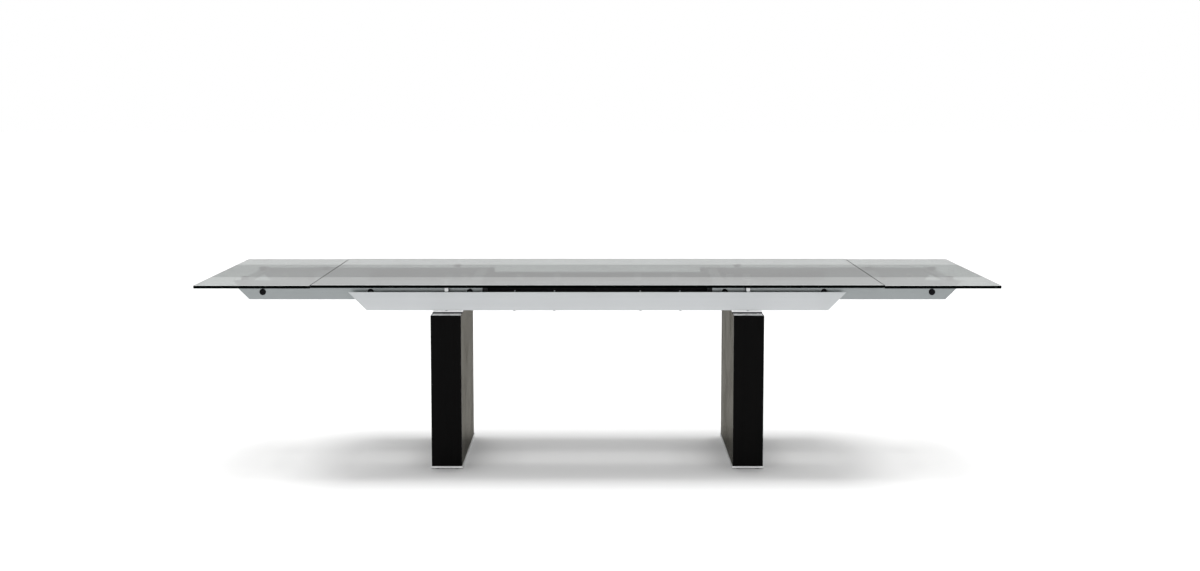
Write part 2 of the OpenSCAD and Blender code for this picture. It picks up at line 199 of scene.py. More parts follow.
def turned(outline, closed=False):
    """A shape turned about Z from (radius, height) points. A closed outline makes a ring."""
    bm = new_shape()
    verts = [bm.verts.new((radius, 0, height)) for radius, height in outline]
    ends = verts[1:] + verts[:1] if closed else verts[1:]
    edges = [bm.edges.new(pair) for pair in zip(verts, ends)]
    bmesh.ops.spin(
        bm, geom=verts + edges, cent=(0, 0, 0), axis=(0, 0, 1), dvec=(0, 0, 0),
        angle=tau, steps=sizes().round_steps, use_merge=True)
    bmesh.ops.remove_doubles(bm, verts=bm.verts, dist=SAME_PLACE / 10)
    bmesh.ops.recalc_face_normals(bm, faces=bm.faces)
    return bm


def loop_edges(verts):
    return list({e for v in verts for e in v.link_edges if e.other_vert(v) in verts})


def pull(bm, edges, radius, height):
    """Extrudes a round loop of edges to a new radius and height. Returns the new loop."""
    made = bmesh.ops.extrude_edge_only(bm, edges=edges)["geom"]
    verts = [g for g in made if isinstance(g, bmesh.types.BMVert)]
    for v in verts:
        flat = v.co.xy.normalized() * radius
        v.co = (flat.x, flat.y, height)
    return [g for g in made
            if isinstance(g, bmesh.types.BMEdge) and all(v in verts for v in g.verts)]


def headed(outline, socket, depth, sides=ROUND_SIDES):
    """A screw along Z. The outline runs from the rim of its top face down to its tip, and a
    hexagon socket, given by its corner radius and depth, is sunk in the top face."""
    bm = new_shape()
    (rim, top), rest = outline[0], outline[1:]
    lift = Matrix.Translation((0, 0, top))
    ring = bmesh.ops.create_circle(bm, segments=sides, radius=rim, matrix=lift)["verts"]
    outer = loop_edges(ring)
    hexagon = bmesh.ops.create_circle(bm, segments=6, radius=socket, matrix=lift)["verts"]
    inner = loop_edges(hexagon)
    bmesh.ops.bridge_loops(bm, edges=outer + inner)
    inner = pull(bm, inner, socket, top - depth)
    bmesh.ops.edgeloop_fill(bm, edges=inner)
    for radius, height in rest:
        outer = pull(bm, outer, radius, height)
    bmesh.ops.edgeloop_fill(bm, edges=outer)
    bmesh.ops.recalc_face_normals(bm, faces=bm.faces)
    return bm


CHAMFER_IN, CHAMFER_UP = 0.90, 0.86    # where a hexagon head's chamfer ends, as shares
SHANK_IN = 0.2                         # share of the washer that the shank runs into


def hexagon_bolt(across, head, washer_radius, washer, shank, reach):
    """A hexagon bolt along Z, standing on its washer at height 0, with its shank below."""
    bm = new_shape()
    lift = Matrix.Translation((0, 0, washer + head))
    ring = bmesh.ops.create_circle(
        bm, segments=6, radius=across * CHAMFER_IN, matrix=lift)["verts"]
    bmesh.ops.contextual_create(bm, geom=ring)
    outer = loop_edges(ring)
    outer = pull(bm, outer, across, washer + head * CHAMFER_UP)
    outer = pull(bm, outer, across, washer)
    bmesh.ops.edgeloop_fill(bm, edges=outer)
    bmesh.ops.recalc_face_normals(bm, faces=bm.faces)
    for low, high, radius in ((0, washer, washer_radius), (-reach, SHANK_IN * washer, shank)):
        bmesh.ops.create_cone(
            bm, cap_ends=True, segments=ROUND_SIDES, radius1=radius, radius2=radius,
            depth=high - low, matrix=Matrix.Translation((0, 0, (low + high) / 2)))
    return bm


def soften(bm, width, steps=2, only=None):
    """Rounds the corners and marks the new faces, where the finish wears first."""
    picked = [e for e in bm.edges
              if len(e.link_faces) == 2 and e.calc_face_angle(0) > CORNER
              and (only is None or only(e))]
    made = bmesh.ops.bevel(
        bm, geom=picked, offset=width, offset_type="OFFSET", segments=steps, profile=0.5,
        affect="EDGES", clamp_overlap=True, loop_slide=True, material=-1)
    mark = bm.loops.layers.float["edge"]
    for face in made["faces"]:
        for loop in face.loops:
            loop[mark] = 1.0
    return made["faces"]


def longer(limit):
    """A test for edges longer than a length."""
    return lambda edge: edge.calc_length() > limit


def as_mesh(bm, name):
    mesh = bpy.data.meshes.new(name)
    bm.to_mesh(mesh)
    bm.free()
    return mesh


def repeated(shape, places):
    """A bmesh with a copy of a shape at every matrix in places."""
    mesh = as_mesh(shape, "pattern")
    bm = new_shape()
    for place in places:
        old = set(bm.verts)
        bm.from_mesh(mesh)
        bmesh.ops.transform(bm, matrix=place, verts=[v for v in bm.verts if v not in old])
    bpy.data.meshes.remove(mesh)
    return bm


def solid_boxes(node):
    """The lowest and highest corner of each separate solid in a CAD node."""
    bm = new_shape()
    bm.from_mesh(NODES[node].data)
    bmesh.ops.remove_doubles(bm, verts=bm.verts, dist=SAME_PLACE)
    left, boxes = set(bm.verts), []
    while left:
        todo, solid = [left.pop()], []
        while todo:
            vert = todo.pop()
            solid.append(vert.co.copy())
            near = {e.other_vert(vert) for e in vert.link_edges} & left
            left -= near
            todo += near
        boxes.append((Vector(map(min, zip(*solid))), Vector(map(max, zip(*solid)))))
    bm.free()
    return sorted(boxes, key=lambda box: tuple(box[0]))


def round_size(boxes):
    """Radius, height and foot of the first of some upright round solids."""
    low, high = boxes[0]
    return (high.x - low.x) / 2, high.z - low.z, low.z


def upright(boxes, height):
    """A place for each box, at its middle seen from above, at a height."""
    return [Matrix.Translation(((low.x + high.x) / 2, (low.y + high.y) / 2, height))
            for low, high in boxes]


def facing_out(boxes, depth):
    """A place for each box with its axis along the table's depth, pointing away from the
    middle. depth is how far from the middle its foot lies."""
    places = []
    for low, high in boxes:
        face = 1 if low.y + high.y > 0 else -1
        middle = (low + high) / 2
        places.append(Matrix.Translation((middle.x, face * depth, middle.z))
                      @ Matrix.Rotation(-face * pi / 2, 4, "X"))
    return places


def placed(name, data):
    """A new object in the scene."""
    made = bpy.data.objects.new(name, data)
    bpy.context.scene.collection.objects.link(made)
    return made


def finish_piece(bm, name, materials, nodes, crease=CREASE):
    """Makes a piece of a bmesh. It stands for CAD nodes and rides on their body."""
    for face in bm.faces:
        face.smooth = True
    for e in bm.edges:
        e.smooth = len(e.link_faces) == 2 and e.calc_face_angle(0) < crease
    mesh = as_mesh(bm, name)
    if "custom_normal" in mesh.attributes:    # the CAD mesh's normals don't fit the new faces
        mesh.attributes.remove(mesh.attributes["custom_normal"])
    for material in materials:
        mesh.materials.append(material)
    piece = placed(name, mesh)
    flat = piece.modifiers.new("flat faces", "WEIGHTED_NORMAL")
    flat.keep_sharp = True
    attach(piece, NODES[nodes[0]]["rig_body"])
    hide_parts(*nodes)


def plain_piece(bm, name, look, node):
    """A piece in one finish, in place of one CAD node."""
    finish_piece(bm, name, [finish(look)], [node])


def rounded_node(node, name, look, width, steps=2, only=None):
    """A piece in a CAD node's own shape, with its corners rounded."""
    bm = node_shape(node)
    soften(bm, width, steps, only)
    plain_piece(bm, name, look, node)


def discs(node, name, look, width, steps):
    """Turned discs, one for each solid of a CAD node."""
    boxes = solid_boxes(node)
    radius, tall, foot = round_size(boxes)
    bm = turned([(0, 0), (radius, 0), (radius, tall), (0, tall)])
    soften(bm, width, steps)
    plain_piece(repeated(bm, upright(boxes, foot)), name, look, node)


def dress(node, look):
    """Gives a CAD node that stays its finish."""
    for held in NODES[node].material_slots:
        held.material = finish(look)


# Patterns that several finishes share


def new_group(name, inputs, outputs):
    """An empty shader node group. Returns it with its two end nodes."""
    group = bpy.data.node_groups.new(name, "ShaderNodeTree")
    for label, kind, value in inputs:
        socket = group.interface.new_socket(label, in_out="INPUT", socket_type=kind)
        if value is not None:
            socket.default_value = value
    for label in outputs:
        group.interface.new_socket(label, in_out="OUTPUT", socket_type="NodeSocketFloat")
    return group, group.nodes.new("NodeGroupInput"), group.nodes.new("NodeGroupOutput")


def feed(tree, sockets, values):
    """Links or sets input sockets, by name or place. Each value is a socket, a number, a
    vector or a colour of three numbers."""
    for label, value in values.items():
        socket = sockets[label]
        if isinstance(value, bpy.types.NodeSocket):
            tree.links.new(value, socket)
        elif socket.type == "RGBA":
            socket.default_value = (*value, 1.0)
        else:
            socket.default_value = value


def noise(tree, vector, scale, detail, roughness):
    node = tree.nodes.new("ShaderNodeTexNoise")
    feed(tree, node.inputs,
         {"Vector": vector, "Scale": scale, "Detail": detail, "Roughness": roughness})
    return node.outputs["Fac"]


def spread(tree, value, low, high, to_low=0.0, to_high=1.0):
    """Stretches a value's range low to high over to_low to to_high, clamped."""
    node = tree.nodes.new("ShaderNodeMapRange")
    feed(tree, node.inputs, {"Value": value, "From Min": low, "From Max": high,
                             "To Min": to_low, "To Max": to_high})
    return node.outputs["Result"]


def maths(tree, kind, a, b):
    node = tree.nodes.new("ShaderNodeMath")
    node.operation = kind
    feed(tree, node.inputs, {0: a, 1: b})
    return node.outputs["Value"]


def times(tree, a, b):
    return maths(tree, "MULTIPLY", a, b)


def weighted(tree, first, *others):
    """The sum of some values, each given with its weight."""
    total = times(tree, *first)
    for value, weight in others:
        total = maths(tree, "ADD", total, times(tree, value, weight))
    return total


MIX_A, MIX_B, MIX_RESULT = 6, 7, 2     # the colour sockets of a Mix node, by place


def blended(tree, share, a, b):
    """A colour between a and b. Each may be a socket or three numbers."""
    node = tree.nodes.new("ShaderNodeMix")
    node.data_type = "RGBA"
    feed(tree, node.inputs, {"Factor": share, MIX_A: a, MIX_B: b})
    return node.outputs[MIX_RESULT]


def shade(rgb, factor):
    return tuple(min(1.0, c * factor) for c in rgb)


def toned(tree, share, rgb, low, high):
    """A colour that varies between two shades of one."""
    return blended(tree, share, shade(rgb, low), shade(rgb, high))


VECTOR, FLOAT = "NodeSocketVector", "NodeSocketFloat"


def make_brushed_group():
    """Fine lines along one way, over broad soft clouds."""
    group, given, out = new_group(
        "brushed_lines",
        [("Stretched", VECTOR, None), ("Place", VECTOR, None),
         ("Line Scale", FLOAT, 1.0), ("Cloud Scale", FLOAT, 2.0)],
        ["Lines", "Bands", "Clouds"])
    stretched, place = given.outputs["Stretched"], given.outputs["Place"]
    scale = given.outputs["Line Scale"]
    fine = noise(group, stretched, scale, 4.0, 0.65)
    wide = noise(group, stretched, times(group, scale, 0.18), 2.0, 0.5)
    both = weighted(group, (fine, 0.65), (wide, 0.35))
    bands = noise(group, stretched, times(group, scale, 0.022), 3.0, 0.6)
    cloud = noise(group, place, given.outputs["Cloud Scale"], 3.0, 0.55)
    feed(group, out.inputs, {"Lines": spread(group, both, 0.3, 0.7),
                             "Bands": spread(group, bands, 0.32, 0.68),
                             "Clouds": spread(group, cloud, 0.3, 0.7)})
    return group


def make_wear_group():
    """How worn a place is: strong in patches along the marked edges."""
    group, given, out = new_group(
        "edge_wear",
        [("Place", VECTOR, None), ("Patch Scale", FLOAT, 60.0), ("Amount", FLOAT, 0.5)],
        ["Worn"])
    mark = group.nodes.new("ShaderNodeAttribute")
    mark.attribute_name = "edge"
    patches = noise(group, given.outputs["Place"], given.outputs["Patch Scale"], 3.0, 0.6)
    patches = spread(group, patches, 0.35, 0.65, 0.35, 1.0)
    worn = times(group, mark.outputs["Fac"], patches)
    feed(group, out.inputs, {"Worn": times(group, worn, given.outputs["Amount"])})
    return group


def make_handling_group():
    """Faint wiping marks and dust, as on a piece that has been handled."""
    group, given, out = new_group(
        "handling_marks",
        [("Place", VECTOR, None), ("Mark Scale", FLOAT, 5.0), ("Dust Scale", FLOAT, 900.0)],
        ["Marks", "Dust"])
    place = given.outputs["Place"]
    marks = noise(group, place, given.outputs["Mark Scale"], 4.0, 0.6)
    dust = noise(group, place, given.outputs["Dust Scale"], 1.0, 0.5)
    feed(group, out.inputs, {"Marks": spread(group, marks, 0.42, 0.72),
                             "Dust": spread(group, dust, 0.68, 0.76)})
    return group


def make_coat_group():
    """The fine pebbled skin of powder coat, rubber and moulded plastic."""
    group, given, out = new_group(
        "pebbled_skin",
        [("Place", VECTOR, None), ("Pebble Scale", FLOAT, 1800.0)],
        ["Height", "Tone"])
    cells = group.nodes.new("ShaderNodeTexVoronoi")
    cells.feature = "SMOOTH_F1"
    place, scale = given.outputs["Place"], given.outputs["Pebble Scale"]
    feed(group, cells.inputs, {"Vector": place, "Scale": scale})
    tone = noise(group, place, times(group, scale, 0.01), 3.0, 0.6)
    feed(group, out.inputs, {"Height": cells.outputs["Distance"],
                             "Tone": spread(group, tone, 0.3, 0.7)})
    return group


PATTERNS = {}


def pattern(tree, name, place, **values):
    """Puts a shared pattern in a material. Values are numbers or sockets."""
    makers = {"brushed_lines": make_brushed_group, "edge_wear": make_wear_group,
              "handling_marks": make_handling_group, "pebbled_skin": make_coat_group}
    if name not in PATTERNS:
        PATTERNS[name] = makers[name]()
    node = tree.nodes.new("ShaderNodeGroup")
    node.node_tree = PATTERNS[name]
    feed(tree, node.inputs, {"Place": place, **{
        label.replace("_", " ").title(): value for label, value in values.items()}})
    return node.outputs


def rubbed(tree, place, base, rgb, amount, patch_scale=60.0):
    """A base colour with another where the edges are worn."""
    worn = pattern(tree, "edge_wear", place, amount=amount, patch_scale=patch_scale)["Worn"]
    return blended(tree, worn, base, rgb)


# Finishes


def new_finish(name):
    """A material with its Principled shader and the piece's own coordinates."""
    material = bpy.data.materials.new(name)
    material.use_nodes = True
    tree = material.node_tree
    shader = tree.nodes["Principled BSDF"]
    place = tree.nodes.new("ShaderNodeTexCoord").outputs["Object"]
    return material, tree, shader, place


def stretched(tree, place, scale):
    node = tree.nodes.new("ShaderNodeMapping")
    feed(tree, node.inputs, {"Vector": place, "Scale": scale})
    return node.outputs["Vector"]


def bump(tree, shader, height, depth):
    node = tree.nodes.new("ShaderNodeBump")
    feed(tree, node.inputs, {"Strength": 1.0, "Distance": depth, "Height": height})
    feed(tree, shader.inputs, {"Normal": node.outputs["Normal"]})


SOCKETS = {"metal": "Metallic", "gloss": "Specular IOR Level", "tint": "Specular Tint"}


def surface(tree, shader, base, rough, **others):
    """Feeds a shader's base colour and roughness, and others that SOCKETS names."""
    feed(tree, shader.inputs, {
        "Base Color": base, "Roughness": rough,
        **{SOCKETS[label]: value for label, value in others.items()}})


WHITE = (1.0, 1.0, 1.0)
ALONG_X, ALONG_Z = (1.2, 900.0, 900.0), (900.0, 900.0, 1.2)    # scales of brushed lines


def brushed_steel(name, rgb, roughness, grain, contrast, depth=4e-6, waves=2e-5,
                  metal=1.0, tint=(0.9, 0.9, 0.9)):
    """Satin or brushed steel with its lines along one way and brighter, rubbed edges."""
    material, tree, shader, place = new_finish(name)
    lines = pattern(tree, "brushed_lines", place, stretched=stretched(tree, place, grain),
                    cloud_scale=2.2)
    marks = pattern(tree, "handling_marks", place, mark_scale=6.0)
    tone = weighted(tree, (lines["Lines"], 0.5), (lines["Bands"], 0.3), (lines["Clouds"], 0.2))
    base = toned(tree, tone, rgb, 1 - contrast, 1 + contrast)
    base = rubbed(tree, place, base, shade(rgb, 1.25), 0.8)
    rough = spread(tree, lines["Lines"], 0, 1, roughness - 0.05, roughness + 0.05)
    rough = maths(tree, "ADD", rough, times(tree, marks["Marks"], 0.06))
    surface(tree, shader, base, rough, metal=metal, gloss=0.0, tint=tint)
    height = weighted(tree, (lines["Lines"], depth), (lines["Bands"], waves))
    bump(tree, shader, height, depth=1.0)
    return material


def blasted_steel(name, rgb, roughness):
    """Steel plate with a fine blasted surface."""
    material, tree, shader, place = new_finish(name)
    skin = pattern(tree, "pebbled_skin", place, pebble_scale=3200.0)
    base = toned(tree, skin["Tone"], rgb, 0.94, 1.06)
    base = rubbed(tree, place, base, shade(rgb, 1.2), 0.8)
    rough = spread(tree, skin["Tone"], 0, 1, roughness - 0.05, roughness + 0.05)
    surface(tree, shader, base, rough, metal=1.0)
    bump(tree, shader, skin["Height"], depth=8e-6)
    return material


def bright_chrome(name, rgb):
    material, tree, shader, place = new_finish(name)
    marks = pattern(tree, "handling_marks", place, mark_scale=40.0, dust_scale=1500.0)
    base = blended(tree, marks["Marks"], rgb, shade(rgb, 0.93))
    surface(tree, shader, base, spread(tree, marks["Marks"], 0, 1, 0.05, 0.14), metal=1.0)
    bump(tree, shader, marks["Dust"], depth=3e-6)
    return material


def plated_steel(name, rgb, roughness):
    """Zinc plate or black oxide: even metal with cloudy patches."""
    material, tree, shader, place = new_finish(name)
    skin = pattern(tree, "pebbled_skin", place, pebble_scale=6000.0)
    marks = pattern(tree, "handling_marks", place, mark_scale=120.0)
    base = toned(tree, marks["Marks"], rgb, 0.85, 1.15)
    base = rubbed(tree, place, base, shade(rgb, 1.8), 0.5, 300.0)
    rough = spread(tree, skin["Tone"], 0, 1, roughness - 0.06, roughness + 0.08)
    surface(tree, shader, base, rough, metal=1.0)
    bump(tree, shader, skin["Height"], depth=1e-5)
    return material


def pebbled(name, rgb, roughness, scale=1800.0, depth=3e-5, gloss=0.3, wear=0.4):
    """Powder coat, moulded plastic or rubber with a fine pebbled skin."""
    material, tree, shader, place = new_finish(name)
    skin = pattern(tree, "pebbled_skin", place, pebble_scale=scale)
    marks = pattern(tree, "handling_marks", place, mark_scale=18.0)
    base = toned(tree, skin["Tone"], rgb, 0.82, 1.18)
    base = blended(tree, marks["Dust"], base, [c * 0.8 + 0.02 for c in rgb])
    base = rubbed(tree, place, base, [c * 1.2 + 0.015 for c in rgb], wear)
    rough = spread(tree, marks["Marks"], 0, 1, roughness - 0.04, roughness + 0.08)
    surface(tree, shader, base, rough, gloss=gloss)
    bump(tree, shader, skin["Height"], depth)
    return material


def stained_veneer(name, rgb):
    """Black stained veneer under satin lacquer. The grain runs up the leg."""
    material, tree, shader, place = new_finish(name)
    pores = noise(tree, stretched(tree, place, (420.0, 420.0, 9.0)), 1.0, 5.0, 0.7)
    pores = spread(tree, pores, 0.42, 0.62)
    bands = noise(tree, stretched(tree, place, (46.0, 46.0, 1.1)), 1.0, 3.0, 0.55)
    bands = spread(tree, bands, 0.35, 0.68)
    marks = pattern(tree, "handling_marks", place, mark_scale=7.0)
    base = toned(tree, bands, rgb, 0.5, 1.5)
    base = blended(tree, pores, base, shade(rgb, 2.2))
    base = rubbed(tree, place, base, shade(rgb, 4.0), 0.5)
    rough = spread(tree, pores, 0, 1, 0.40, 0.55)
    rough = maths(tree, "ADD", rough, times(tree, marks["Marks"], 0.05))
    surface(tree, shader, base, rough, gloss=0.045)
    bump(tree, shader, pores, depth=4e-5)
    return material


def bare_board(name, rgb):
    material, tree, shader, place = new_finish(name)
    chips = tree.nodes.new("ShaderNodeTexVoronoi")
    feed(tree, chips.inputs, {"Vector": place, "Scale": 260.0})
    tone = noise(tree, place, 30.0, 4.0, 0.6)
    share = times(tree, chips.outputs["Distance"], tone)
    base = toned(tree, spread(tree, share, 0.1, 0.5), rgb, 0.75, 1.2)
    surface(tree, shader, base, spread(tree, tone, 0.3, 0.7, 0.7, 0.9))
    bump(tree, shader, chips.outputs["Distance"], depth=1e-4)
    return material


def natural_nylon(name, rgb):
    material, tree, shader, place = new_finish(name)
    skin = pattern(tree, "pebbled_skin", place, pebble_scale=2600.0)
    base = toned(tree, skin["Tone"], rgb, 0.93, 1.04)
    base = rubbed(tree, place, base, shade(rgb, 0.72), 0.6, 200.0)
    surface(tree, shader, base, spread(tree, skin["Tone"], 0, 1, 0.34, 0.46))
    feed(tree, shader.inputs, {"Subsurface Weight": 0.15,
                               "Subsurface Radius": (0.002, 0.002, 0.0015)})
    bump(tree, shader, skin["Height"], depth=1e-5)
    return material


FIXED_PASSES, LEAF_PASSES = 0.69, 0.95   # see clear_glass
PASSING_TINT = (1.0, 0.975, 0.98)        # colour of what passes
GLASS_TINT = (0.15, 0.60, 0.45)          # colour that the glass's depth leaves
GLASS_TAKES = 9.0                        # density of the glass, per metre


def clear_glass(name, passes):
    """Clear float glass with a green cast in its depth. passes is the share of shadow and
    diffuse rays that go straight through a face. Real glass has no such share."""
    material, tree, shader, place = new_finish(name)
    marks = pattern(tree, "handling_marks", place, mark_scale=3.0, dust_scale=700.0)
    base = blended(tree, marks["Dust"], WHITE, (0.93, 0.95, 0.94))
    surface(tree, shader, base, spread(tree, marks["Marks"], 0, 1, 0.0, 0.015))
    feed(tree, shader.inputs, {"IOR": 1.52, "Transmission Weight": 1.0,
                               "Coat Weight": 1.0, "Coat Roughness": 0.0})
    ripple = noise(tree, stretched(tree, place, (2.2, 0.9, 1.0)), 1.0, 1.0, 0.4)
    bump(tree, shader, ripple, depth=5e-6)
    path = tree.nodes.new("ShaderNodeLightPath")
    lit = maths(tree, "MAXIMUM", path.outputs["Is Shadow Ray"], path.outputs["Is Diffuse Ray"])
    open_way = tree.nodes.new("ShaderNodeBsdfTransparent")
    feed(tree, open_way.inputs, {"Color": shade(PASSING_TINT, passes)})
    mixed = tree.nodes.new("ShaderNodeMixShader")
    feed(tree, mixed.inputs, {0: lit, 1: shader.outputs["BSDF"], 2: open_way.outputs["BSDF"]})
    depth = tree.nodes.new("ShaderNodeVolumeAbsorption")
    feed(tree, depth.inputs, {"Color": GLASS_TINT, "Density": GLASS_TAKES})
    feed(tree, tree.nodes["Material Output"].inputs,
         {"Surface": mixed.outputs["Shader"], "Volume": depth.outputs["Volume"]})
    return material


def glass_edge(name, rgb):
    """The polished edge. A real one looks dark because light runs far inside the pane. Here
    its colour is near black and it mirrors next to nothing."""
    material, tree, shader, place = new_finish(name)
    marks = pattern(tree, "handling_marks", place, mark_scale=20.0)
    base = blended(tree, marks["Marks"], rgb, shade(rgb, 2.2))
    surface(tree, shader, base, spread(tree, marks["Marks"], 0, 1, 0.06, 0.16), gloss=0.012)
    return material


def ground_arris(name, rgb, gloss):
    """The ground arris of a pane, drawn bright on its long sides. On its short ones it is drawn
    dark, as painted shade for the seams between the panes.
    """
    material, tree, shader, place = new_finish(name)
    skin = pattern(tree, "pebbled_skin", place, pebble_scale=5000.0)
    base = toned(tree, skin["Tone"], rgb, 0.9, 1.1)
    surface(tree, shader, base, spread(tree, skin["Tone"], 0, 1, 0.25, 0.35), gloss=gloss)
    bump(tree, shader, skin["Height"], depth=5e-6)
    return material


FINISHES = {}


def finish(name):
    """One of the table's finishes, made when it is first asked for."""
    c = colours()
    makers = {
        "glass": lambda n: clear_glass(n, FIXED_PASSES),
        "leaf_glass": lambda n: clear_glass(n, LEAF_PASSES),
        "glass_edge": lambda n: glass_edge(n, c.glass_edge),
        "glass_arris": lambda n: ground_arris(n, c.glass_arris, gloss=0.5),
        # Near black arris on the panes' short sides: painted shade in the seams between the panes
        "dark_arris": lambda n: ground_arris(n, shade(c.glass_edge, 6), gloss=0.0),
        "beam": lambda n: brushed_steel(n, c.beam, 0.30, ALONG_X, 0.06),
        "rail": lambda n: brushed_steel(n, c.rail, 0.30, ALONG_X, 0.08),
        "plate": lambda n: blasted_steel(n, c.plate, 0.21),
        # A lighter copy of the plate steel for the base plates: painted light that offsets the
        # shaded floor they mirror
        "base_plate": lambda n: blasted_steel(n, shade(c.plate, 1.1), 0.50),
        # The cladding's dark colour and low tint are painted shade for the dim surroundings it
        # mirrors
        "cladding": lambda n: brushed_steel(n, c.cladding, 0.22, ALONG_Z, 0.28, 5e-6, 1e-4,
                                            metal=0.82, tint=(0.07, 0.05, 0.0)),
        "chrome": lambda n: bright_chrome(n, c.chrome),
        "veneer": lambda n: stained_veneer(n, c.veneer),
        "board": lambda n: bare_board(n, c.board),
        "black_coat": lambda n: pebbled(n, c.black_coat, 0.45, gloss=0.15),
        "grey_coat": lambda n: pebbled(n, c.grey_coat, 0.40, gloss=0.4),
        "zinc": lambda n: plated_steel(n, c.zinc, 0.32),
        "black_oxide": lambda n: plated_steel(n, c.black_oxide, 0.35),
        "rubber": lambda n: pebbled(n, c.rubber, 0.75, 2600.0, 4e-5, 0.2, 0.2),
        "plastic": lambda n: pebbled(n, c.plastic, 0.42, 2400.0, 2e-5, 0.25, 0.5),
        "nylon": lambda n: natural_nylon(n, c.nylon),
    }
    if name not in FINISHES:
        FINISHES[name] = makers[name](name)
    return FINISHES[name]


# Pieces


class TablePiece:
    """What the operators of the table share."""

    bl_options = {"REGISTER", "UNDO"}


PANE, EDGE, ARRIS, END_ARRIS = range(4)    # a pane's materials
PANE_CORNER_STEPS = 6


def upright_edge(edge):
    return abs(edge.verts[0].co.z - edge.verts[1].co.z) > UPRIGHT


class TABLE_OT_glass_panes(TablePiece, bpy.types.Operator):
    """Models the fixed pane and the two leaves with ground arrises and polished edges"""

    bl_idname = "table.glass_panes"
    bl_label = "Glass panes"

    def execute(self, context):
        for name, node, look in (("fixed_pane", "centre_glass", "glass"),
                                 ("left_leaf_pane", "left_leaf", "leaf_glass"),
                                 ("right_leaf_pane", "right_leaf", "leaf_glass")):
            bm = new_shape()
            low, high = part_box(node)
            add_block(bm, low, high)
            soften(bm, sizes().glass_corner, PANE_CORNER_STEPS, upright_edge)
            rims = soften(bm, sizes().glass_arris, 1, lambda e: not upright_edge(e))
            for face in bm.faces:
                face.material_index = PANE if abs(face.normal.z) > FLAT else EDGE
            for face in rims:
                # The short-side arris takes the dark finish, which is painted shade in the seams
                upper = ARRIS if abs(face.normal.y) > abs(face.normal.x) else END_ARRIS
                face.material_index = upper if face.normal.z > 0 else EDGE
            self.widen_ends(bm, low, high)
            finish_piece(bm, name, [finish(look), finish("glass_edge"),
                                    finish("glass_arris"), finish("dark_arris")],
                         [node], PANE_CREASE)
        return {"FINISHED"}

    def widen_ends(self, bm, low, high):
        """Draws the flat faces in at both ends, where the arris is the wider one."""
        middle, half = (low[0] + high[0]) / 2, (high[0] - low[0]) / 2
        drawn_in = (half - sizes().end_arris) / (half - sizes().glass_arris)
        for vert in bm.verts:
            if min(vert.co.z - low[2], high[2] - vert.co.z) < SAME_PLACE:
                vert.co.x = middle + (vert.co.x - middle) * drawn_in


class TABLE_OT_glass_posts(TablePiece, bpy.types.Operator):
    """Turns the chrome posts and the discs bonded under the glass"""

    bl_idname = "table.glass_posts"
    bl_label = "Glass posts"

    def execute(self, context):
        posts = solid_boxes("glass_posts")
        radius, tall, foot = round_size(posts)
        bore, deep = 3.1 * MM, 18 * MM
        groove, bite = sizes().groove, 0.8 * MM
        ring = tall - 14 * MM
        bm = turned([(0, deep), (bore, deep), (bore, 0), (radius, 0),
                     (radius, ring), (radius - bite, ring + groove / 4),
                     (radius - bite, ring + groove * 3 / 4), (radius, ring + groove),
                     (radius, tall), (0, tall)])
        soften(bm, sizes().screw_edge, 2, lambda e: e.verts[0].co.xy.length > bore * 2)
        plain_piece(repeated(bm, upright(posts, foot)), "chrome_posts", "chrome",
                    "glass_posts")
        discs("glass_discs", "bonded_discs", "chrome", 0.9 * MM, 3)
        return {"FINISHED"}


# Outlines of screw heads from the top rim down, as shares of the head's radius and height
PAN_HEAD = ((0.62, 1.0), (0.86, 0.80), (1.0, 0.30), (1.0, 0.0))
AXLE_HEAD = ((0.80, 1.0), (0.90, 0.86), (1.0, 0.30), (1.0, 0.0))
PAN_SHANK, PAN_TALL = 1 / 1.8, 0.8 / 0.9    # a pan screw's shank and head height, by its radius
NEAR_TOP = 0.95                             # share of the head's height where its rim lies
# A hexagon head's corner radius and height and its washer's radius, by its shank's radius
HEXAGON, HEXAGON_TALL, WASHER = 1.9, 1.3, 2


def screw(head, radius, tall, shank, foot, tip):
    """A screw's outline, with its head on height 0. tip is the way in and up of the chamfer
    at its foot."""
    return [(radius * across, tall * up) for across, up in head] + [
        (shank, 0), (shank, foot + tip[1]), (shank - tip[0], foot)]


class TABLE_OT_pan_screws(TablePiece, bpy.types.Operator):
    """Models the pan head screws under the beams and behind the tracks"""

    bl_idname = "table.pan_screws"
    bl_label = "Pan head screws"

    def execute(self, context):
        from_below = Matrix.Rotation(pi, 4, "X")
        for name, node in (("post_screw_set", "post_screws"),
                           ("bracket_screw_set", "bracket_screws")):
            boxes = solid_boxes(node)
            radius, reach, foot = round_size(boxes)
            shank, tall = radius * PAN_SHANK, radius * PAN_TALL
            tip = (0.6 * MM, 0.6 * MM)
            bm = headed(screw(PAN_HEAD, radius, tall, shank, tall - reach, tip),
                        socket=shank * 0.72, depth=tall * 0.5)
            soften(bm, 0.2 * MM, 1, lambda e: e.verts[0].co.z > tall * NEAR_TOP)
            places = [place @ from_below for place in upright(boxes, foot + tall)]
            plain_piece(repeated(bm, places), name, "zinc", node)
        return {"FINISHED"}


class TABLE_OT_hexagon_bolts(TablePiece, bpy.types.Operator):
    """Models the hexagon bolts that hold the beams and tie the legs"""

    bl_idname = "table.hexagon_bolts"
    bl_label = "Hexagon bolts"

    def execute(self, context):
        for name, node in (("beam_bolt_set", "beam_bolts"), ("tie_bolt_set", "tie_bolts")):
            boxes = solid_boxes(node)
            low, high = boxes[0]
            shank = (high.x - low.x) / 2 / WASHER
            washer, head = 2 * MM, shank * HEXAGON_TALL
            seat = high.z - washer - head
            bm = hexagon_bolt(shank * HEXAGON, head, shank * WASHER, washer, shank, seat - low.z)
            soften(bm, sizes().screw_edge, 1, longer(2 * MM))
            plain_piece(repeated(bm, upright(boxes, seat)), name, "zinc", node)
        return {"FINISHED"}


